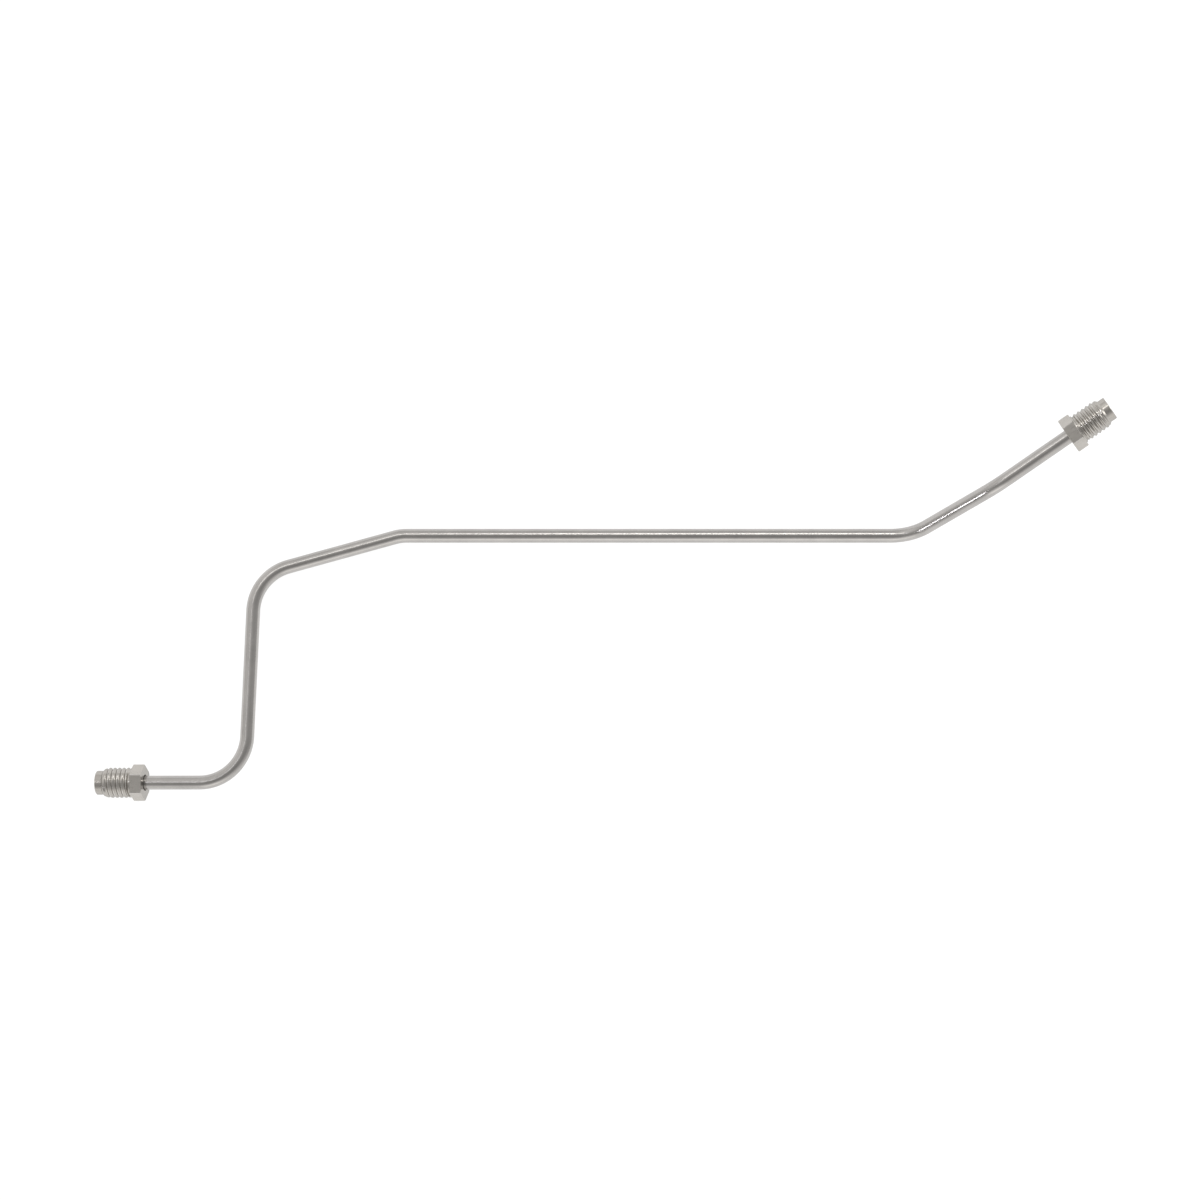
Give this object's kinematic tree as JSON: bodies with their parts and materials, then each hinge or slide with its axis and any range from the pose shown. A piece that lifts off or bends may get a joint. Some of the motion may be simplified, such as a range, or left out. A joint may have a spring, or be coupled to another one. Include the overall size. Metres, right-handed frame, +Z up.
{
  "type": "bent tube assembly",
  "caption": "Rigid steel hydraulic line bent in three dimensions, with a threaded hexagonal tube nut captive behind the flare at each end.",
  "frame": {"origin": "centre of the bounding box on plan, at the level the assembly rests on", "axes": "+X along the straight main length towards the raised end, +Z up from the surface it lies on"},
  "size_m": [0.341, 0.1346, 0.0378],
  "materials": {
    "tube_steel": "satin zinc plate, fine grain along the tube",
    "nut_steel": "zinc plate on turned steel, sharp edges slightly worn"
  },
  "bodies": {
    "tube": {"bent_tube": "tube_steel"},
    "left_nut": {"left_tube_nut": "nut_steel"},
    "right_nut": {"right_tube_nut": "nut_steel"}
  },
  "joints": [
    {"name": "left_nut_spin", "type": "hinge", "parent": "tube", "child": "left_nut", "pos_m": [-0.16995, -0.06121, 0.00455], "axis": [-0.989, -0.0104, -0.1478], "continuous": true},
    {"name": "right_nut_spin", "type": "hinge", "parent": "tube", "child": "right_nut", "pos_m": [0.16824, 0.06402, 0.03322], "axis": [0.8111, 0.5659, 0.1478], "continuous": true}
  ]
}
